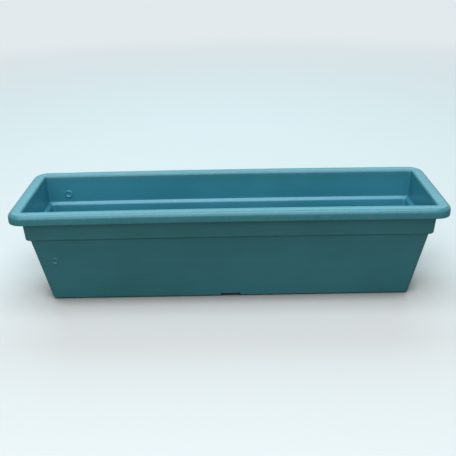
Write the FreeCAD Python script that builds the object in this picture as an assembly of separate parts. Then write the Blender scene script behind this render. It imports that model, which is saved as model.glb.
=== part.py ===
"""Window box planter: a long rectangular trough, injection moulded in green plastic.

One moulding makes the rolled rim, the collar under it, the stepped and drafted walls and the floor.
The floor stands on a foot that runs round its edge, and drains through holes that plugs can close.
The water leaves under the foot by a channel in the middle of each long side.

Millimetres. X runs along the box, Y from front to back, Z up. The origin is the middle of the base,
on the surface that the box stands on.
"""

import FreeCAD, Part
import math
import os

from FreeCAD import Vector

# Overall size, over the rim
LENGTH = 600.0
WIDTH = 178.0
HEIGHT = 149.5

# Moulded wall
WALL = 2.3

# Rolled rim: a flat-topped lip that turns down into a skirt, open underneath
RIM_HEIGHT = 14.0
RIM_OVERHANG = 16.3
RIM_CORNER_RADIUS = 21.0
RIM_OUTER_ROUND = 6.4
RIM_INNER_ROUND = 4.6
SKIRT_EDGE_BEVEL = 0.5

# Walls: an upright collar, a sloping step, and the tapered body below it
COLLAR_HEIGHT = 30.0
COLLAR_DRAFT = 3.1
STEP_IN = 4.9
STEP_DROP = 3.4
STEP_OUTER_ROUND = 3.0
STEP_INNER_ROUND = 1.6
BODY_DRAFT = 9.4
WALL_CORNER_RADIUS = 6.0
BASE_EDGE_ROUND = 3.9

# Floor: raised inside the foot, which the drain channels cross
FOOT_HEIGHT = 5.0
FOOT_WIDTH = 13.0
FOOT_DRAFT = 6.0
FLOOR_CORNER_RADIUS = 7.0
FLOOR_EDGE_BEVEL = 1.2
CHANNEL_WIDTH = 29.0
CHANNEL_CORNER_ROUND = 2.0

# Drain holes, in rows along the floor
HOLE_COLUMNS = 3
HOLE_ROWS = 2
HOLE_PITCH_X = 175.0
HOLE_PITCH_Y = 36.0
HOLE_DIAMETER = 12.0

# Drain plugs: a flanged spigot with a tab to pull it out by
PLUG_CLEARANCE = 0.08
PLUG_FLANGE_OVERLAP = 3.2
PLUG_FLANGE_THICKNESS = 1.6
PLUG_REACH = 2.0
TAB_WIDTH = 9.0
TAB_THICKNESS = 2.2
TAB_HEIGHT = 7.0
TAB_BEVEL = 2.0

# Overrun of a cutting solid past the face that it cuts, and how near an edge lies to a plane it is in
OVERRUN = 5.0
IN_PLANE = 1e-4


def slope(degrees):
    """Horizontal travel per millimetre of height on a drafted wall."""
    return math.tan(math.radians(degrees))


# Heights and insets that follow from the sizes. An inset is the distance in from the rim's outer face.
SKIRT_Z = HEIGHT - RIM_HEIGHT
COLLAR_FOOT_Z = SKIRT_Z - COLLAR_HEIGHT
BODY_TOP_Z = COLLAR_FOOT_Z - STEP_DROP
COLLAR_FOOT_INSET = RIM_OVERHANG + COLLAR_HEIGHT * slope(COLLAR_DRAFT)
BODY_TOP_INSET = COLLAR_FOOT_INSET + STEP_IN
BASE_INSET = BODY_TOP_INSET + BODY_TOP_Z * slope(BODY_DRAFT)
FLOOR_Z = FOOT_HEIGHT + WALL
FOOT_INSET = BASE_INSET + FOOT_WIDTH


def ends(edge):
    """First and last point of an edge."""
    return edge.valueAt(edge.FirstParameter), edge.valueAt(edge.LastParameter)


def rectangle(inset, radius, z):
    """Rounded rectangle in the plane z, that far in from the rim's outer face."""
    x = LENGTH / 2 - inset
    y = WIDTH / 2 - inset
    diagonal = radius * math.sqrt(0.5)
    edges = []
    for sx, sy in ((1, 1), (-1, 1), (-1, -1), (1, -1)):
        centre = Vector(sx * (x - radius), sy * (y - radius), z)
        on_side = centre + Vector(sx * radius, 0, 0)
        on_end = centre + Vector(0, sy * radius, 0)
        middle = centre + Vector(sx * diagonal, sy * diagonal, 0)
        first, last = (on_side, on_end) if sx == sy else (on_end, on_side)
        if edges:
            edges.append(Part.makeLine(ends(edges[-1])[1], first))
        edges.append(Part.Arc(first, middle, last).toShape())
    edges.append(Part.makeLine(ends(edges[-1])[1], ends(edges[0])[0]))
    return Part.Wire(edges)


def panel(lower, upper):
    """Wall between two level edges: flat between lines, and a rounded corner between arcs of one radius."""
    start, end = ends(lower)
    above_start, above_end = ends(upper)
    if lower.Curve.TypeId != "Part::GeomLine":
        return lower.extrude(above_start - start)
    return Part.Face(Part.makePolygon([start, end, above_end, above_start, start]))


def stack(profile, radius):
    """Closed solid whose walls run through rounded rectangles at each (inset, z) of the profile."""
    rings = [rectangle(inset, radius, z) for inset, z in profile]
    faces = [Part.Face(rings[0]), Part.Face(rings[-1])]
    for lower, upper in zip(rings, rings[1:]):
        faces += [panel(a, b) for a, b in zip(lower.Edges, upper.Edges)]
    shell = Part.Shell(faces)
    shell.sewShape()
    return Part.Solid(shell).removeSplitter()


def prism(inset, radius, bottom, top):
    """Upright rounded block."""
    face = Part.Face(rectangle(inset, radius, bottom))
    return face.extrude(Vector(0, 0, top - bottom))


def flat_edges(shape, z):
    """Edges of the shape that lie in the plane z."""
    return [e for e in shape.Edges
            if abs(e.BoundBox.ZMin - z) < IN_PLANE and abs(e.BoundBox.ZMax - z) < IN_PLANE]


def round_edges(shape, radius, z, keep=lambda edge: True):
    """Rounds the shape's edges in the plane z, or those of them that keep() names."""
    return shape.makeFillet(radius, [e for e in flat_edges(shape, z) if keep(e)])


def bevel_edges(shape, size, z, keep=lambda edge: True):
    """Cuts the same edges off at an angle instead."""
    return shape.makeChamfer(size, [e for e in flat_edges(shape, z) if keep(e)])


def by_walls(edge):
    """Whether an edge of the rim runs along the walls, and not along the rim's outer face."""
    box = edge.BoundBox
    from_end = LENGTH / 2 - max(abs(box.XMin), abs(box.XMax))
    from_side = WIDTH / 2 - max(abs(box.YMin), abs(box.YMax))
    return min(from_end, from_side) > RIM_OVERHANG / 2


def moved_in(profile, wall):
    """The (inset, z) profile with each of its slopes moved in by the wall, and the corners met again."""
    lines = []
    for (inset_a, z_a), (inset_b, z_b) in zip(profile, profile[1:]):
        run, rise = inset_b - inset_a, z_b - z_a
        size = math.hypot(run, rise)
        shift = Vector(rise / size * wall, -run / size * wall, 0)
        lines.append((Vector(inset_a, z_a, 0) + shift, Vector(run / size, rise / size, 0)))
    corners = []
    for (point_a, way_a), (point_b, way_b) in zip(lines, lines[1:]):
        gap = point_b - point_a
        cross = way_a.x * way_b.y - way_a.y * way_b.x
        along = (gap.x * way_b.y - gap.y * way_b.x) / cross
        corners.append(point_a + way_a * along)
    return lines, [(c.x, c.y) for c in corners]


def inset_on(line, z):
    """Inset at height z on a (point, way) line of a profile."""
    point, way = line
    return point.x + way.x * (z - point.y) / way.y


def outer_profile(top):
    """The outside of the walls, from the base up to the height top."""
    top_inset = COLLAR_FOOT_INSET - (top - COLLAR_FOOT_Z) * slope(COLLAR_DRAFT)
    return [(BASE_INSET, 0.0), (BODY_TOP_INSET, BODY_TOP_Z), (COLLAR_FOOT_INSET, COLLAR_FOOT_Z),
            (top_inset, top)]


def rim():
    """The rolled rim as an upturned tray, before the walls meet it."""
    block = prism(0, RIM_CORNER_RADIUS, SKIRT_Z, HEIGHT)
    block = round_edges(block, RIM_OUTER_ROUND, HEIGHT)
    block = bevel_edges(block, SKIRT_EDGE_BEVEL, SKIRT_Z)
    roof = HEIGHT - WALL
    hollow = prism(WALL, RIM_CORNER_RADIUS - WALL, SKIRT_Z - OVERRUN, roof)
    hollow = round_edges(hollow, RIM_OUTER_ROUND - WALL, roof)
    return block.cut(hollow)


def outside():
    """Everything inside the outer surface: the walls as a solid block, joined to the rim."""
    walls = stack(outer_profile(HEIGHT - WALL / 2), WALL_CORNER_RADIUS)
    walls = round_edges(walls, BASE_EDGE_ROUND, 0.0)
    walls = round_edges(walls, STEP_OUTER_ROUND, COLLAR_FOOT_Z)
    walls = round_edges(walls, STEP_INNER_ROUND, BODY_TOP_Z)
    whole = rim().fuse(walls)
    return bevel_edges(whole, RIM_INNER_ROUND - WALL, HEIGHT - WALL, by_walls)


def floor_block():
    """The raised floor and its bridges over the drain channels, as a block that the walls' hollow leaves."""
    top_inset = FOOT_INSET + FOOT_HEIGHT * slope(FOOT_DRAFT) - WALL
    foot_inset = top_inset - FLOOR_Z * slope(FOOT_DRAFT)
    plateau = stack([(foot_inset, 0.0), (top_inset, FLOOR_Z)], FLOOR_CORNER_RADIUS + WALL)
    plateau = bevel_edges(plateau, FLOOR_EDGE_BEVEL, FLOOR_Z)
    return plateau.fuse(channel(CHANNEL_WIDTH + 2 * WALL, FLOOR_Z, CHANNEL_CORNER_ROUND + WALL))


def channel(width, height, corner_round):
    """Straight bar across the box from front to back, rounded along its two upper edges."""
    bar = Part.makeBox(width, WIDTH, height + OVERRUN, Vector(-width / 2, -WIDTH / 2, -OVERRUN))
    return round_edges(bar, corner_round, height, lambda e: e.BoundBox.YLength > width)


def hollow():
    """The space inside the walls, down to the floor and the gutter round it."""
    lines, corners = moved_in(outer_profile(HEIGHT), WALL)
    body, collar = lines[0], lines[-1]
    (body_inset, body_z), (collar_inset, collar_z) = corners
    profile = [(inset_on(body, WALL), WALL), (body_inset, body_z), (collar_inset, collar_z),
               (inset_on(collar, HEIGHT + OVERRUN), HEIGHT + OVERRUN)]
    space = stack(profile, WALL_CORNER_RADIUS - WALL)
    space = round_edges(space, BASE_EDGE_ROUND - WALL, WALL)
    space = round_edges(space, STEP_INNER_ROUND + WALL, body_z)
    return space.cut(floor_block())


def underside():
    """The recess inside the foot, and the channels that let the water out of it."""
    recess = stack([(FOOT_INSET - OVERRUN * slope(FOOT_DRAFT), -OVERRUN),
                    (FOOT_INSET + FOOT_HEIGHT * slope(FOOT_DRAFT), FOOT_HEIGHT)], FLOOR_CORNER_RADIUS)
    return recess.fuse(channel(CHANNEL_WIDTH, FOOT_HEIGHT, CHANNEL_CORNER_ROUND))


def hole_centres():
    """Centre of each drain hole, on the floor's upper face."""
    centres = []
    for row in range(HOLE_ROWS):
        for column in range(HOLE_COLUMNS):
            x = (column - (HOLE_COLUMNS - 1) / 2) * HOLE_PITCH_X
            y = (row - (HOLE_ROWS - 1) / 2) * HOLE_PITCH_Y
            centres.append(Vector(x, y, FLOOR_Z))
    return centres


def trough():
    """The whole moulding."""
    body = outside().cut(hollow())
    body = round_edges(body, RIM_INNER_ROUND, HEIGHT, by_walls)
    body = body.cut(underside())
    holes = [Part.makeCylinder(HOLE_DIAMETER / 2, WALL + 2 * OVERRUN, centre - Vector(0, 0, WALL + OVERRUN))
             for centre in hole_centres()]
    return body.cut(Part.makeCompound(holes)).removeSplitter()


def plug(centre):
    """One drain plug, pushed home so that its flange lies on the floor."""
    depth = WALL + PLUG_REACH
    spigot = Part.makeCylinder(HOLE_DIAMETER / 2 - PLUG_CLEARANCE, depth, Vector(0, 0, -depth))
    flange = Part.makeCylinder(HOLE_DIAMETER / 2 + PLUG_FLANGE_OVERLAP, PLUG_FLANGE_THICKNESS)
    body = flange.fuse([spigot, tab()]).removeSplitter()
    body.translate(centre)
    return body


def tab():
    """Upright tab, standing on the plug's flange, with its two upper corners cut off."""
    block = Part.makeBox(TAB_WIDTH, TAB_THICKNESS, TAB_HEIGHT,
                         Vector(-TAB_WIDTH / 2, -TAB_THICKNESS / 2, PLUG_FLANGE_THICKNESS))
    return bevel_edges(block, TAB_BEVEL, PLUG_FLANGE_THICKNESS + TAB_HEIGHT,
                       lambda e: e.BoundBox.YLength > TAB_THICKNESS / 2)


def save(shape, name):
    """Writes one piece to parts/NAME.step and prints what it holds."""
    shape.exportStep(os.path.join("parts", name + ".step"))
    print(f"{name}: {len(shape.Solids)} solid, valid {shape.isValid()}, {shape.Volume / 1000:.2f} cm3")


os.makedirs("parts", exist_ok=True)
save(trough(), "trough")
for number, centre in enumerate(hole_centres(), 1):
    save(plug(centre), f"drain_plug_{number}")
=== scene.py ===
import math

import bmesh
import bpy
from mathutils import Matrix, Vector


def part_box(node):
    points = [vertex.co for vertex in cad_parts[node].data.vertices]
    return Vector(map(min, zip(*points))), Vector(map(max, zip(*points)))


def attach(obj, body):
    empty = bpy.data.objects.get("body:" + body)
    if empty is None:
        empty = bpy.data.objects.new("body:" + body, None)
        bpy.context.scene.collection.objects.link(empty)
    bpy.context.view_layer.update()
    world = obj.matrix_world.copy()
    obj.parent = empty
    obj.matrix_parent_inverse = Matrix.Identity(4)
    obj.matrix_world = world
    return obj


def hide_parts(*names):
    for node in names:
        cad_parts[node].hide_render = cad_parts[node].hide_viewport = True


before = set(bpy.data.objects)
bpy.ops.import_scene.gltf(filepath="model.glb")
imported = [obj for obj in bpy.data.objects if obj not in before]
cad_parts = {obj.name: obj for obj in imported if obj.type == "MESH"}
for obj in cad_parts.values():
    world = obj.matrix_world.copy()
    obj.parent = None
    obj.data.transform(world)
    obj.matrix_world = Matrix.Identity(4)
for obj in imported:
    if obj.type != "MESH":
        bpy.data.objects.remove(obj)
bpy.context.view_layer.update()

MM = 0.001

# ---------------------------------------------------------------- sizes of the moulding, in metres
TROUGH_LOW, TROUGH_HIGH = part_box("trough")
LENGTH = TROUGH_HIGH.x - TROUGH_LOW.x
WIDTH = TROUGH_HIGH.y - TROUGH_LOW.y
HEIGHT = TROUGH_HIGH.z

WALL = 2.3 * MM
RIM_HEIGHT = 14.0 * MM
RIM_OVERHANG = 16.3 * MM
RIM_CORNER_RADIUS = 21.0 * MM
RIM_OUTER_ROUND = 6.4 * MM
RIM_INNER_ROUND = 4.6 * MM
SKIRT_EDGE_ROUND = 0.7 * MM
COLLAR_HEIGHT = 30.0 * MM
COLLAR_DRAFT = math.radians(3.1)
STEP_IN = 4.9 * MM
STEP_DROP = 3.4 * MM
STEP_OUTER_ROUND = 3.0 * MM
STEP_INNER_ROUND = 1.1 * MM
BODY_DRAFT = math.radians(9.4)
WALL_CORNER_RADIUS = 6.0 * MM
BASE_EDGE_ROUND = 3.9 * MM
FOOT_HEIGHT = 5.0 * MM
FOOT_WIDTH = 13.0 * MM
FOOT_DRAFT = math.radians(6.0)
FOOT_EDGE_ROUND = 0.6 * MM
FLOOR_CORNER_RADIUS = 7.0 * MM
FLOOR_EDGE_ROUND = 1.6 * MM
FLOOR_BORDER = 4.0 * MM
CHANNEL_WIDTH = 29.0 * MM
CHANNEL_ROUND = 2.0 * MM
CHANNEL_SIDE = 0.02 * MM

# How much the long sides rise from the ends to the middle
CROWN = 1.5 * MM

SKIRT_Z = HEIGHT - RIM_HEIGHT
COLLAR_FOOT_Z = SKIRT_Z - COLLAR_HEIGHT
BODY_TOP_Z = COLLAR_FOOT_Z - STEP_DROP
COLLAR_FOOT_INSET = RIM_OVERHANG + COLLAR_HEIGHT * math.tan(COLLAR_DRAFT)
BODY_TOP_INSET = COLLAR_FOOT_INSET + STEP_IN
BASE_INSET = BODY_TOP_INSET + BODY_TOP_Z * math.tan(BODY_DRAFT)
FOOT_INSET = BASE_INSET + FOOT_WIDTH
FLOOR_Z = FOOT_HEIGHT + WALL

# ---------------------------------------------------------------- fineness of the mesh
ARC_STEP = math.radians(11)
RUN_STEP = 7.0 * MM
END_STEPS = 8
CORNER_STEPS = 10
OUTER_STEPS = 26
CENTRE_ZONE = 60.0 * MM
CHANNEL_FLAT_SHARES = (0, 0.3, 0.6, 0.85)
CHANNEL_TURNS = (0, 20, 40, 60, 75, 90)
BESIDE_CHANNEL = (10 * MM, 18 * MM, 28 * MM, 38 * MM)
LEDGE_TRIES = 8
SAME_PLACE = 1e-7

# ---------------------------------------------------------------- two small raised rings near the left end
# Side of the box, x, z, radius and height of the bead
FRONT_MARK = (-1, -247.3 * MM, 67.8 * MM, 4.1 * MM, 0.95 * MM)
BACK_MARK = (1, -248.8 * MM, 119.3 * MM, 4.5 * MM, 1.2 * MM)
MARK_BEAD = 1.6 * MM
MARK_LEAN = 0.35
MARK_MARGIN = 1.2 * MM
MARK_STEP = 0.4 * MM
# Least gap between a coarse column and a finer one, as a share of the outer part of a long side
MARK_COLUMN_GAP = 0.004

# Depth below the rim over which the colour turns into that of the inside, whose lighter, bluer tint is
# painted light standing in for light falling into the box
PAINTED_LIGHT_DEPTH = 16.0 * MM


# ================================================================ profile of the moulding

def collar_inset(z):
    """Inset of the collar's outer face at height z."""
    return COLLAR_FOOT_INSET - (z - COLLAR_FOOT_Z) * math.tan(COLLAR_DRAFT)


def body_inset(z):
    """Inset of the body's outer face at height z."""
    return BASE_INSET - z * math.tan(BODY_DRAFT)


def ledge_corner(inner_inset):
    """Where the ledge's top meets the inner face whose inset at height z is inner_inset(z)."""
    run = math.hypot(STEP_IN, STEP_DROP)
    inset = COLLAR_FOOT_INSET + WALL * STEP_DROP / run
    z = COLLAR_FOOT_Z + WALL * STEP_IN / run
    for _ in range(LEDGE_TRIES):
        shift = inner_inset(z) - inset
        inset += shift
        z -= shift * STEP_DROP / STEP_IN
    return inset, z


def inner_collar(z):
    """Inset of the collar's inner face at height z."""
    return collar_inset(z) + WALL / math.cos(COLLAR_DRAFT)


def inner_body(z):
    """Inset of the body's inner face at height z."""
    return body_inset(z) + WALL / math.cos(BODY_DRAFT)


def across_mark(mark, middle):
    """Even places across a mark whose middle is there, close enough together for its bead."""
    reach = mark[3] + MARK_BEAD + MARK_MARGIN
    steps = round(2 * reach / MARK_STEP)
    return [middle - reach + 2 * reach * step / steps for step in range(steps + 1)]


def mark_levels(mark):
    """Heights of the finer rows of points across a mark, from the lowest."""
    return across_mark(mark, mark[2])


def mark_shares(mark, inset, radius):
    """Shares of the outer part of a long side where the finer columns across a mark lie."""
    span = LENGTH / 2 - inset - radius - CENTRE_ZONE
    return [(place - CENTRE_ZONE) / span for place in across_mark(mark, abs(mark[1]))]


def mark_relief(mark, x, z):
    """How far a mark's bead stands out of the wall at x, z; it is fuller on its lower side."""
    dx, dz = x - mark[1], z - mark[2]
    off = math.hypot(dx, dz)
    beside = (off - mark[3]) / MARK_BEAD
    if abs(beside) >= 1:
        return 0.0
    return mark[4] * (1 - beside * beside) ** 2 * (1 - MARK_LEAN * dz / off)


def outer_stations():
    """Corners of the section from under the floor, round the outside and over the rim.

    Each is (inset, z, rounding, plan radius).
    """
    recess = FOOT_INSET + FOOT_HEIGHT * math.tan(FOOT_DRAFT)
    inner_radius = WALL_CORNER_RADIUS - WALL
    toe = BASE_INSET + BASE_EDGE_ROUND
    return [
        (recess + FLOOR_BORDER, FOOT_HEIGHT, 0, FLOOR_CORNER_RADIUS - 2 * MM),
        (recess, FOOT_HEIGHT, FOOT_EDGE_ROUND, FLOOR_CORNER_RADIUS),
        (FOOT_INSET, 0, FOOT_EDGE_ROUND, FLOOR_CORNER_RADIUS),
        (toe, 0, 0, WALL_CORNER_RADIUS - BASE_EDGE_ROUND + 1 * MM),
        (BASE_INSET, 0, BASE_EDGE_ROUND, WALL_CORNER_RADIUS),
        (body_inset(FOOT_HEIGHT), FOOT_HEIGHT, 0, WALL_CORNER_RADIUS),
        *((body_inset(z), z, 0, WALL_CORNER_RADIUS) for z in mark_levels(FRONT_MARK)),
        (BODY_TOP_INSET, BODY_TOP_Z, STEP_INNER_ROUND, WALL_CORNER_RADIUS),
        (COLLAR_FOOT_INSET, COLLAR_FOOT_Z, STEP_OUTER_ROUND, WALL_CORNER_RADIUS),
        (collar_inset(HEIGHT - WALL), HEIGHT - WALL, RIM_INNER_ROUND - WALL, WALL_CORNER_RADIUS),
        (WALL, HEIGHT - WALL, RIM_OUTER_ROUND - WALL, RIM_CORNER_RADIUS - WALL),
        (WALL, SKIRT_Z, SKIRT_EDGE_ROUND, RIM_CORNER_RADIUS - WALL),
        (0, SKIRT_Z, SKIRT_EDGE_ROUND, RIM_CORNER_RADIUS),
        (0, HEIGHT, RIM_OUTER_ROUND, RIM_CORNER_RADIUS),
        (inner_collar(HEIGHT), HEIGHT, RIM_INNER_ROUND, inner_radius)]


def inner_stations():
    """The section's further corners, down the inside to the floor's upper face."""
    inner_radius = WALL_CORNER_RADIUS - WALL
    plateau_top = FOOT_INSET + FOOT_HEIGHT * math.tan(FOOT_DRAFT) - WALL
    plateau_foot = plateau_top - FOOT_HEIGHT * math.tan(FOOT_DRAFT)
    return [
        *((inner_collar(z), z, 0, inner_radius) for z in reversed(mark_levels(BACK_MARK))),
        (*ledge_corner(inner_collar), STEP_OUTER_ROUND - WALL, inner_radius),
        (*ledge_corner(inner_body), STEP_INNER_ROUND + WALL, inner_radius),
        (inner_body(FLOOR_Z), FLOOR_Z, 0, inner_radius),
        (inner_body(WALL), WALL, BASE_EDGE_ROUND - WALL, inner_radius),
        (plateau_foot, WALL, FOOT_EDGE_ROUND, FLOOR_CORNER_RADIUS + WALL),
        (plateau_top, FLOOR_Z, FLOOR_EDGE_ROUND, FLOOR_CORNER_RADIUS + WALL),
        (plateau_top + FLOOR_BORDER, FLOOR_Z, 0, FLOOR_CORNER_RADIUS)]


def rounded(stations):
    """Points along the section, with every corner rounded as its station says.

    Each is (inset, z, plan radius, turning), where turning is 1 on a round and 0 elsewhere.
    """
    points = [(*stations[0][:2], stations[0][3], 0.0)]
    for before, here, after in zip(stations, stations[1:], stations[2:]):
        corner = Vector(here[:2])
        if here[2] == 0:
            run_to(points, (*corner, here[3], 0.0))
            continue
        back, ahead = Vector(before[:2]) - corner, Vector(after[:2]) - corner
        half = back.angle(ahead) / 2
        reach = here[2] / math.tan(half)
        start, end = corner + back.normalized() * reach, corner + ahead.normalized() * reach
        centre = corner + (back.normalized() + ahead.normalized()).normalized() * here[2] / math.sin(half)
        start_radius = here[3] + (before[3] - here[3]) * reach / back.length
        end_radius = here[3] + (after[3] - here[3]) * reach / ahead.length
        run_to(points, (*start, start_radius, 1.0))
        turn = math.pi - 2 * half
        steps = max(3, math.ceil(turn / ARC_STEP))
        first = start - centre
        sign = 1 if first.x * (end - centre).y - first.y * (end - centre).x > 0 else -1
        for step in range(1, steps + 1):
            spot = centre + Matrix.Rotation(sign * turn * step / steps, 2) @ first
            across = abs(spot.x - start.x) / max(abs(end.x - start.x), 1e-9)
            points.append((*spot, start_radius + (end_radius - start_radius) * across, 1.0))
    run_to(points, (*stations[-1][:2], stations[-1][3], 0.0))
    return points


def run_to(points, target):
    """Adds a straight run to the target, in even steps."""
    last = points[-1]
    length = math.hypot(target[0] - last[0], target[1] - last[1])
    if length < SAME_PLACE:
        return
    steps = max(1, math.ceil(length / RUN_STEP))
    for step in range(1, steps):
        share = step / steps
        points.append((*(a + (b - a) * share for a, b in zip(last[:3], target[:3])), 0.0))
    points.append(target)


# ================================================================ plan of the moulding

def centre_columns():
    """Places along a long side that the drain channel's outline needs, from the middle outwards."""
    flat = CHANNEL_WIDTH / 2 - CHANNEL_ROUND
    places = [flat * share for share in CHANNEL_FLAT_SHARES]
    for radius in (CHANNEL_ROUND, CHANNEL_ROUND + WALL):
        places += [flat + radius * math.sin(math.radians(angle)) for angle in CHANNEL_TURNS]
        places.append(flat + radius + CHANNEL_SIDE)
    places += [flat + beside for beside in BESIDE_CHANNEL]
    places.append(CENTRE_ZONE)
    return sorted({round(place, 7) for place in places})


def columns():
    """Where the points of a ring lie, counter-clockwise from the right end's middle.

    Each is (kind, signs of its quadrant's x and y, share of its stretch or place along the side).
    """
    half_end = [step / END_STEPS for step in range(END_STEPS)]
    long_side = centre_columns()
    outer_part = [step / OUTER_STEPS for step in range(1, OUTER_STEPS)]
    fine = {(-1, -1): mark_shares(FRONT_MARK, body_inset(FRONT_MARK[2]), WALL_CORNER_RADIUS),
            (-1, 1): mark_shares(BACK_MARK, inner_collar(BACK_MARK[2]), WALL_CORNER_RADIUS - WALL)}
    ring = []
    for sx, sy in ((1, 1), (-1, 1), (-1, -1), (1, -1)):
        end = [("end", (sx, sy), share) for share in half_end]
        corner = [("corner", (sx, sy), step / CORNER_STEPS) for step in range(CORNER_STEPS + 1)]
        finer = fine.get((sx, sy), [])
        coarse = [share for share in outer_part
                  if all(abs(share - other) >= MARK_COLUMN_GAP for other in finer)]
        side = [("outer", (sx, sy), share) for share in sorted(coarse + finer, reverse=True)]
        side += [("centre", (sx, sy), place) for place in reversed(long_side) if place > 0]
        quadrant = end + corner + side
        if sx != sy:
            quadrant = [entry for entry in quadrant if not (entry[0] == "end" and entry[2] == 0)]
            quadrant.reverse()
            quadrant = [("centre", (sx, sy), 0.0)] + quadrant
        ring += quadrant
    return ring


def place_on_ring(column, inset, radius):
    """Plan position of a column on the rounded rectangle with that inset and corner radius."""
    kind, (sx, sy), share = column
    x, y = LENGTH / 2 - inset, WIDTH / 2 - inset
    if kind == "end":
        return sx * x, sy * share * (y - radius)
    if kind == "corner":
        angle = share * math.pi / 2
        return sx * (x - radius + radius * math.cos(angle)), sy * (y - radius + radius * math.sin(angle))
    if kind == "outer":
        return sx * (CENTRE_ZONE + share * (x - radius - CENTRE_ZONE)), sy * y
    return sx * share, sy * y


def channel_top(x, half_width, corner_round, height):
    """Height of the drain channel's roof at x, or nothing beside the channel."""
    beside = abs(x) - (half_width - corner_round)
    if beside <= 0:
        return height
    if beside > corner_round + CHANNEL_SIDE / 2:
        return 0.0
    return height - corner_round + math.sqrt(max(corner_round ** 2 - beside ** 2, 0.0))


def lifted(column, x, z, inside):
    """Height of a point after the drain channel has lifted what lies below it."""
    if column[0] != "centre":
        return z
    if inside:
        return max(z, channel_top(x, CHANNEL_WIDTH / 2 + WALL, CHANNEL_ROUND + WALL, FLOOR_Z))
    return max(z, channel_top(x, CHANNEL_WIDTH / 2, CHANNEL_ROUND, FOOT_HEIGHT))


def crowned(point):
    """Lowers the ends of the box a little against its middle, more towards the top."""
    drop = CROWN * (2 * point.x / LENGTH) ** 2 * point.z / HEIGHT
    return Vector((point.x, point.y, point.z - drop))


# ================================================================ drain holes and floor

HOLE_SEGMENTS = 32
HOLE_EDGE = 0.4 * MM
HOLE_RADIUS = 6.0 * MM

PLUGS = sorted(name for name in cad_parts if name.startswith("drain_plug"))


def plug_centre(name):
    """Plan centre of a drain plug and of its hole, from the frame."""
    low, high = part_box(name)
    return (low.x + high.x) / 2, (low.y + high.y) / 2


def circle(bm, centre, radius, z):
    """Ring of points round a drain hole."""
    turns = [2 * math.pi * step / HOLE_SEGMENTS for step in range(HOLE_SEGMENTS)]
    x, y = centre
    return [bm.verts.new((x + radius * math.cos(a), y + radius * math.sin(a), z)) for a in turns]


def bridge(bm, ring_a, ring_b):
    """Quads between two closed rings with the same number of points."""
    count = len(ring_a)
    for i in range(count):
        j = (i + 1) % count
        bm.faces.new((ring_a[i], ring_a[j], ring_b[j], ring_b[i]))


def loop_edges(bm, ring):
    """Edges of a closed ring, made where they are missing."""
    found = []
    for a, b in zip(ring, ring[1:] + ring[:1]):
        found.append(bm.edges.get((a, b)) or bm.edges.new((a, b)))
    return found


def fill_floor(bm, border, holes):
    """Flat face between the border ring and the holes' rings."""
    edges = loop_edges(bm, border)
    for hole in holes:
        edges += loop_edges(bm, hole)
    bmesh.ops.triangle_fill(bm, edges=edges, use_beauty=True, use_dissolve=False)


# ================================================================ the trough

# Of the section's highest points, the outermost counts as its top
OUTERMOST_FIRST = 1e-3


def trough_mesh():
    """The whole moulding as one closed mesh."""
    section = rounded(outer_stations() + inner_stations())
    turn_at = max(range(len(section)), key=lambda i: section[i][1] - section[i][0] * OUTERMOST_FIRST)
    ring_plan = columns()
    bm = bmesh.new()
    wear = bm.verts.layers.float.new("edge")
    # Share of the inside's painted light: a lighter, bluer colour standing in for light falling into the box
    painted_light_mask = bm.verts.layers.float.new("inside")
    rings = []
    for index, (inset, z, radius, turning) in enumerate(section):
        ring = []
        for column in ring_plan:
            x, y = place_on_ring(column, inset, radius)
            height = lifted(column, x, z, index > turn_at)
            mark = BACK_MARK if index > turn_at else FRONT_MARK
            if y * mark[0] > 0 and inset > RIM_OVERHANG and FLOOR_Z < z < HEIGHT - RIM_INNER_ROUND:
                y -= mark_relief(mark, x, z)
            vert = bm.verts.new(crowned(Vector((x, y, height))))
            vert[wear] = turning
            vert[painted_light_mask] = min(1.0, (HEIGHT - z) / PAINTED_LIGHT_DEPTH) if index > turn_at else 0.0
            ring.append(vert)
        rings.append(ring)
    for ring_a, ring_b in zip(rings, rings[1:]):
        bridge(bm, ring_b, ring_a)
    levels = ((FOOT_HEIGHT, HOLE_RADIUS + HOLE_EDGE), (FOOT_HEIGHT + HOLE_EDGE, HOLE_RADIUS),
              (FLOOR_Z - HOLE_EDGE, HOLE_RADIUS), (FLOOR_Z, HOLE_RADIUS + HOLE_EDGE))
    under, over = [], []
    for name in PLUGS:
        tube = [circle(bm, plug_centre(name), radius, z) for z, radius in levels]
        for ring_a, ring_b in zip(tube, tube[1:]):
            bridge(bm, ring_a, ring_b)
        # The holes' upper rings take the inside's painted light in full
        for vert in tube[-2] + tube[-1]:
            vert[painted_light_mask] = 1.0
        under.append(tube[0])
        over.append(tube[-1])
    fill_floor(bm, rings[0], under)
    fill_floor(bm, rings[-1], over)
    bmesh.ops.recalc_face_normals(bm, faces=bm.faces)
    return bm


# ================================================================ drain plugs

SPIGOT_RADIUS = 5.92 * MM
SPIGOT_LEAD = 0.9 * MM
SPIGOT_HOLLOW = 0.3 * MM
SPIGOT_HOLLOW_EDGE = 0.8 * MM
SPIGOT_NECK = 0.4 * MM
FLANGE_THICKNESS = 1.6 * MM
FLANGE_ROUND = 0.6 * MM
FLANGE_FOOT = 0.35 * MM
FLANGE_DISH = 0.35 * MM
FLANGE_BORDER = 1.4 * MM
# Slope into the dish: how far out from its middle, and the share of its depth reached there
DISH_SLOPE = ((0.5 * MM, 0.0), (0.25 * MM, 0.15), (0.0, 0.5), (-0.25 * MM, 0.85), (-0.5 * MM, 1.0))
TAB_LENGTH = 9.0 * MM
TAB_THICKNESS = 2.2 * MM
TAB_CORNER = 2.0 * MM
TAB_ROUND = 0.6 * MM
TAB_ROOT = 0.5 * MM
PLUG_SEGMENTS = 48


def arc(centre, radius, start, end, steps):
    """Points on an arc between two angles in degrees."""
    angles = [math.radians(start + (end - start) * step / steps) for step in range(steps + 1)]
    return [(centre[0] + radius * math.cos(a), centre[1] + radius * math.sin(a)) for a in angles]


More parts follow.
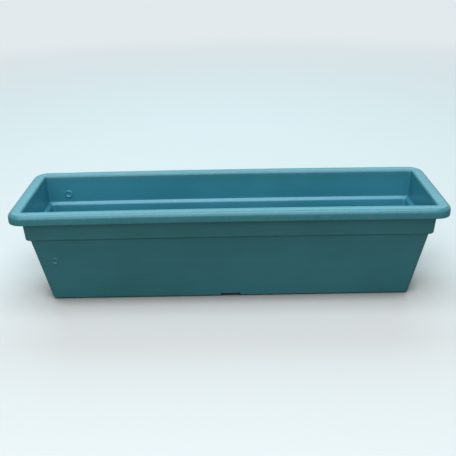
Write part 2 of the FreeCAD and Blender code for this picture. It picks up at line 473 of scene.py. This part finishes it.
def plug_profile(radius, low, seat):
    """Half section of the plug's round part: (radius, z) from its foot's middle to its top's middle."""
    top = seat + FLANGE_THICKNESS
    rim = radius - FLANGE_ROUND
    dish = rim - FLANGE_BORDER
    lead = SPIGOT_RADIUS - SPIGOT_LEAD
    return [(lead - SPIGOT_HOLLOW_EDGE, low + SPIGOT_HOLLOW),
            *arc((lead, low + SPIGOT_LEAD), SPIGOT_LEAD, -90, 0, 5),
            (SPIGOT_RADIUS, seat - SPIGOT_NECK), (SPIGOT_RADIUS, seat),
            (rim + FLANGE_FOOT, seat),
            *arc((rim, seat + FLANGE_ROUND), FLANGE_ROUND, -40, 0, 3),
            *arc((rim, top - FLANGE_ROUND), FLANGE_ROUND, 0, 90, 6),
            *((dish + out, top - FLANGE_DISH * share) for out, share in DISH_SLOPE)]


def tab_outline(inset, foot, top):
    """Outline of the pull tab, seen along its thin side, drawn in by inset except at its foot."""
    half = TAB_LENGTH / 2 - inset
    corner = TAB_CORNER - inset
    right = arc((half - corner, top - inset - corner), corner, 0, 90, 6)
    left = arc((corner - half, top - inset - corner), corner, 90, 180, 6)
    return [(half, foot), *right, *left, (-half, foot)]


def plug_mesh(name):
    """A pull-out plug: spigot, dished flange and a rounded tab to grip."""
    low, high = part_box(name)
    centre = Vector((*plug_centre(name), 0))
    bm = bmesh.new()
    turns = [2 * math.pi * step / PLUG_SEGMENTS for step in range(PLUG_SEGMENTS)]
    rings = []
    for radius, z in plug_profile((high.x - low.x) / 2, low.z, FLOOR_Z):
        rings.append([bm.verts.new((radius * math.cos(a), radius * math.sin(a), z)) for a in turns])
    for ring_a, ring_b in zip(rings, rings[1:]):
        bridge(bm, ring_a, ring_b)
    bm.faces.new(rings[0])
    bm.faces.new(rings[-1])
    foot = FLOOR_Z + FLANGE_THICKNESS - FLANGE_DISH - TAB_ROOT
    rounds = arc((0, 0), TAB_ROUND, 0, 90, 5)
    half = TAB_THICKNESS / 2 - TAB_ROUND
    layers = [(-half - up, TAB_ROUND - out) for out, up in reversed(rounds)]
    layers += [(half + up, TAB_ROUND - out) for out, up in rounds]
    sheets = [[bm.verts.new((x, y, z)) for x, z in tab_outline(inset, foot, high.z)] for y, inset in layers]
    for ring_a, ring_b in zip(sheets, sheets[1:]):
        bridge(bm, ring_a, ring_b)
    bm.faces.new(sheets[0])
    bm.faces.new(sheets[-1])
    bmesh.ops.translate(bm, verts=bm.verts, vec=centre)
    bmesh.ops.recalc_face_normals(bm, faces=bm.faces)
    return bm


SHARP_FROM = math.radians(50)


def to_object(bm, name):
    """Turns a bmesh into an object in the scene, smooth-shaded except over sharp edges."""
    mesh = bpy.data.meshes.new(name)
    bm.to_mesh(mesh)
    bm.free()
    mesh.shade_smooth()
    mesh.set_sharp_from_angle(angle=SHARP_FROM)
    obj = bpy.data.objects.new(name, mesh)
    bpy.context.scene.collection.objects.link(obj)
    return obj


# ================================================================ materials

def new_material(name):
    """Node material with its principled shader, and a maker of further nodes."""
    material = bpy.data.materials.new(name)
    material.use_nodes = True
    tree = material.node_tree
    shader = tree.nodes["Principled BSDF"]

    def node(kind, inputs=None, **settings):
        made = tree.nodes.new(kind)
        for key, value in settings.items():
            setattr(made, key, value)
        for key, value in (inputs or {}).items():
            if isinstance(value, bpy.types.NodeSocket):
                tree.links.new(value, made.inputs[key])
            else:
                made.inputs[key].default_value = value
        return made

    return material, shader, node, tree.links.new


def blended(node, factor, colour_a, colour_b):
    """Colour mixed between two others, which are colours or sockets."""
    mix = node("ShaderNodeMix", data_type="RGBA", clamp_factor=True)
    for socket, value in ((mix.inputs[0], factor), (mix.inputs[6], colour_a), (mix.inputs[7], colour_b)):
        if isinstance(value, bpy.types.NodeSocket):
            mix.id_data.links.new(value, socket)
        else:
            socket.default_value = value
    return mix.outputs[2]


def remapped(node, value, low, high, to_low, to_high):
    """Value carried from one range to another, and held inside it."""
    return node("ShaderNodeMapRange", {"Value": value, "From Min": low, "From Max": high,
                                       "To Min": to_low, "To Max": to_high}).outputs["Result"]


OUTSIDE_DEEP = (0.026, 0.136, 0.150, 1)
OUTSIDE_FRESH = (0.030, 0.152, 0.172, 1)
# The inside's colours: lighter, bluer copies of the plastic, painted light standing in for light falling into
# the box
INSIDE_PAINTED_LIGHT_DEEP = (0.027, 0.162, 0.212, 1)
INSIDE_PAINTED_LIGHT_FRESH = (0.032, 0.182, 0.238, 1)
STREAK_TINT = (0.038, 0.18, 0.21, 1)
RUBBED_EDGE = (0.065, 0.24, 0.265, 1)
PLUG_BLACK = (0.010, 0.012, 0.012, 1)
PLUG_DUST = (0.035, 0.037, 0.035, 1)


def trough_material():
    """Green polypropylene: a satin skin with flow marks, a fine grain and rubbed edges, and painted light
    inside, where a lighter, bluer colour stands in for light falling into the box.
    """
    material, shader, node, link = new_material("trough_plastic")
    place = node("ShaderNodeTexCoord").outputs["Object"]
    blotches = node("ShaderNodeTexNoise", {"Vector": place, "Scale": 9.0, "Detail": 3.0, "Roughness": 0.55})
    along = node("ShaderNodeMapping", {"Vector": place, "Scale": (2.0, 26.0, 55.0)})
    streaks = node("ShaderNodeTexNoise", {"Vector": along.outputs["Vector"], "Scale": 2.4, "Detail": 4.0,
                                          "Roughness": 0.6})
    scuffs = node("ShaderNodeTexNoise", {"Vector": place, "Scale": 160.0, "Detail": 6.0, "Roughness": 0.7})
    grain = node("ShaderNodeTexNoise", {"Vector": place, "Scale": 1100.0, "Detail": 3.0, "Roughness": 0.6})
    edge = node("ShaderNodeAttribute", attribute_name="edge", attribute_type="GEOMETRY").outputs["Fac"]

    # Mask of the inside's painted light
    inside = node("ShaderNodeAttribute", attribute_name="inside", attribute_type="GEOMETRY").outputs["Fac"]
    deep = blended(node, inside, OUTSIDE_DEEP, INSIDE_PAINTED_LIGHT_DEEP)
    fresh = blended(node, inside, OUTSIDE_FRESH, INSIDE_PAINTED_LIGHT_FRESH)
    colour = blended(node, remapped(node, blotches.outputs["Fac"], 0.35, 0.65, 0.0, 1.0), deep, fresh)
    pale = blended(node, remapped(node, streaks.outputs["Fac"], 0.52, 0.75, 0.0, 0.35), colour, STREAK_TINT)
    rub = node("ShaderNodeMath", {0: edge, 1: remapped(node, scuffs.outputs["Fac"], 0.45, 0.75, 0.0, 0.3)},
               operation="MULTIPLY")
    worn = blended(node, rub.outputs[0], pale, RUBBED_EDGE)
    link(worn, shader.inputs["Base Color"])

    sheen = node("ShaderNodeMath", {0: remapped(node, blotches.outputs["Fac"], 0.3, 0.7, 0.31, 0.36),
                                    1: remapped(node, scuffs.outputs["Fac"], 0.3, 0.7, -0.005, 0.015)},
                 operation="ADD")
    link(sheen.outputs[0], shader.inputs["Roughness"])

    fine = node("ShaderNodeBump", {"Height": grain.outputs["Fac"], "Strength": 0.12, "Distance": 0.0002})
    flow = node("ShaderNodeBump", {"Height": streaks.outputs["Fac"], "Strength": 0.10, "Distance": 0.0012,
                                   "Normal": fine.outputs["Normal"]})
    link(flow.outputs["Normal"], shader.inputs["Normal"])
    return material


def plug_material():
    """Near-black soft polyethylene."""
    material, shader, node, link = new_material("plug_plastic")
    place = node("ShaderNodeTexCoord").outputs["Object"]
    grain = node("ShaderNodeTexNoise", {"Vector": place, "Scale": 700.0, "Detail": 4.0, "Roughness": 0.6})
    dust = node("ShaderNodeTexNoise", {"Vector": place, "Scale": 120.0, "Detail": 5.0, "Roughness": 0.65})
    grime = remapped(node, dust.outputs["Fac"], 0.45, 0.75, 0.0, 0.5)
    link(blended(node, grime, PLUG_BLACK, PLUG_DUST), shader.inputs["Base Color"])
    link(remapped(node, dust.outputs["Fac"], 0.3, 0.7, 0.42, 0.62), shader.inputs["Roughness"])
    bump = node("ShaderNodeBump", {"Height": grain.outputs["Fac"], "Strength": 0.2, "Distance": 0.0002})
    link(bump.outputs["Normal"], shader.inputs["Normal"])
    return material


# ================================================================ camera, light and floor

CAMERA_PLACE = Vector((-1.83, -920.58, 500.51)) * MM
CAMERA_YAW = math.radians(-0.019)
CAMERA_PITCH = math.radians(24.200)
CAMERA_ROLL = math.radians(-1.023)
CAMERA_LENS = 53.757


def add_camera():
    """Camera at the photograph's angle."""
    ahead = Vector((math.sin(CAMERA_YAW) * math.cos(CAMERA_PITCH),
                    math.cos(CAMERA_YAW) * math.cos(CAMERA_PITCH), -math.sin(CAMERA_PITCH)))
    level = Vector((math.cos(CAMERA_YAW), -math.sin(CAMERA_YAW), 0))
    upright = level.cross(ahead)
    right = level * math.cos(CAMERA_ROLL) + upright * math.sin(CAMERA_ROLL)
    up = upright * math.cos(CAMERA_ROLL) - level * math.sin(CAMERA_ROLL)
    data = bpy.data.cameras.new("camera")
    data.lens = CAMERA_LENS
    data.sensor_width = 36.0
    camera = bpy.data.objects.new("camera", data)
    camera.matrix_world = Matrix.Translation(CAMERA_PLACE) @ Matrix((right, up, -ahead)).transposed().to_4x4()
    bpy.context.scene.collection.objects.link(camera)
    bpy.context.scene.camera = camera


def add_area(name, place, size, level, colour):
    """Soft lamp aimed at the middle of the object.

    At level 1 and in white, a surface there that faces it shows its colour about as written.
    """
    place = Vector(place)
    aim = Vector((0, 0, HEIGHT / 2)) - place
    data = bpy.data.lights.new(name, "AREA")
    data.shape = "RECTANGLE"
    data.size, data.size_y = size
    data.energy = level * math.pi ** 2 * aim.length_squared
    data.color = colour
    lamp = bpy.data.objects.new(name, data)
    lamp.location = place
    lamp.rotation_euler = aim.to_track_quat("-Z", "Y").to_euler()
    lamp.visible_camera = False
    bpy.context.scene.collection.objects.link(lamp)


# A wide softbox overhead, one in front, and one behind that the rim mirrors:
# name, place, size, level and colour
LAMPS = (("key", (-0.1, -0.6, 2.55), (2.6, 1.9), 1.55, (0.63, 0.86, 1.0)),
         ("front", (-0.3, -2.3, 1.3), (2.8, 1.4), 0.52, (0.95, 0.97, 0.97)),
         ("back", (0.0, 1.75, 1.85), (3.0, 1.5), 0.88, (0.42, 0.84, 1.0)))
WORLD_COLOUR = (0.89, 0.965, 1.0, 1)
WORLD_LIGHTING = 0.24
WORLD_SEEN = 0.85


def add_world():
    """Sky that lights softly, and shows brighter to the camera and in reflections."""
    world = bpy.data.worlds.new("world")
    bpy.context.scene.world = world
    world.use_nodes = True
    tree = world.node_tree
    background = tree.nodes["Background"]
    background.inputs["Color"].default_value = WORLD_COLOUR
    path = tree.nodes.new("ShaderNodeLightPath")
    seen = tree.nodes.new("ShaderNodeMath")
    seen.operation = "MAXIMUM"
    tree.links.new(path.outputs["Is Camera Ray"], seen.inputs[0])
    tree.links.new(path.outputs["Is Glossy Ray"], seen.inputs[1])
    strength = tree.nodes.new("ShaderNodeMapRange")
    strength.inputs["To Min"].default_value = WORLD_LIGHTING
    strength.inputs["To Max"].default_value = WORLD_SEEN
    tree.links.new(seen.outputs[0], strength.inputs["Value"])
    tree.links.new(strength.outputs["Result"], background.inputs["Strength"])


FLOOR_RADIUS = 9.0
FLOOR_GAP = 0.3 * MM
FLOOR_FAR = (0.76, 0.82, 0.85, 1)
FLOOR_PALE = (0.60, 0.50, 0.455, 1)
FLOOR_BOUNCE = (0.18, 0.15, 0.13, 1)
# Colour of the painted contact shadow on the floor round the foot, and how far it reaches
FLOOR_PAINTED_SHADOW = (0.05, 0.055, 0.055, 1)
PAINTED_SHADOW_REACH = 0.045
FADE_START = 0.9
FADE_END = 2.4


def add_floor():
    """Plain pale floor, with a painted contact shadow where it meets the foot, fading into the backdrop far
    away.
    """
    bm = bmesh.new()
    bmesh.ops.create_circle(bm, cap_ends=True, segments=96, radius=FLOOR_RADIUS)
    bmesh.ops.translate(bm, verts=bm.verts, vec=(0, 0, -FLOOR_GAP))
    floor = to_object(bm, "floor")
    material, shader, node, link = new_material("floor")
    seen = node("ShaderNodeLightPath").outputs["Is Camera Ray"]
    # Painted contact shadow, added to the real one: an occlusion mask darkens the floor's colour next to the
    # foot
    painted_shadow_mask = node("ShaderNodeAmbientOcclusion", {"Distance": PAINTED_SHADOW_REACH}).outputs["AO"]
    shown = blended(node, remapped(node, painted_shadow_mask, 0.1, 0.75, 0.0, 1.0), FLOOR_PAINTED_SHADOW, FLOOR_PALE)
    link(blended(node, seen, FLOOR_BOUNCE, shown), shader.inputs["Base Color"])
    shader.inputs["Roughness"].default_value = 0.9
    shader.inputs["Specular IOR Level"].default_value = 0.2
    place = node("ShaderNodeTexCoord").outputs["Object"]
    distance = node("ShaderNodeVectorMath", {0: place}, operation="LENGTH").outputs["Value"]
    fade = remapped(node, distance, FADE_START, FADE_END, 0.0, 1.0)
    away = node("ShaderNodeMath", {0: seen, 1: fade}, operation="MULTIPLY")
    glow = node("ShaderNodeEmission", {"Color": FLOOR_FAR, "Strength": 1.0})
    both = node("ShaderNodeMixShader", {0: away.outputs[0], 1: shader.outputs["BSDF"],
                                        2: glow.outputs["Emission"]})
    link(both.outputs["Shader"], material.node_tree.nodes["Material Output"].inputs["Surface"])
    floor.data.materials.append(material)


# ================================================================ assembly

bpy.context.scene.view_settings.view_transform = "Standard"

trough = to_object(trough_mesh(), "trough_shell")
trough.data.materials.append(trough_material())
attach(trough, "trough")
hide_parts("trough")

plug_plastic = plug_material()
for name in PLUGS:
    plug = to_object(plug_mesh(name), name.replace("drain", "visual"))
    plug.data.materials.append(plug_plastic)
    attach(plug, name)
    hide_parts(name)

add_camera()
for lamp in LAMPS:
    add_area(*lamp)
add_world()
add_floor()
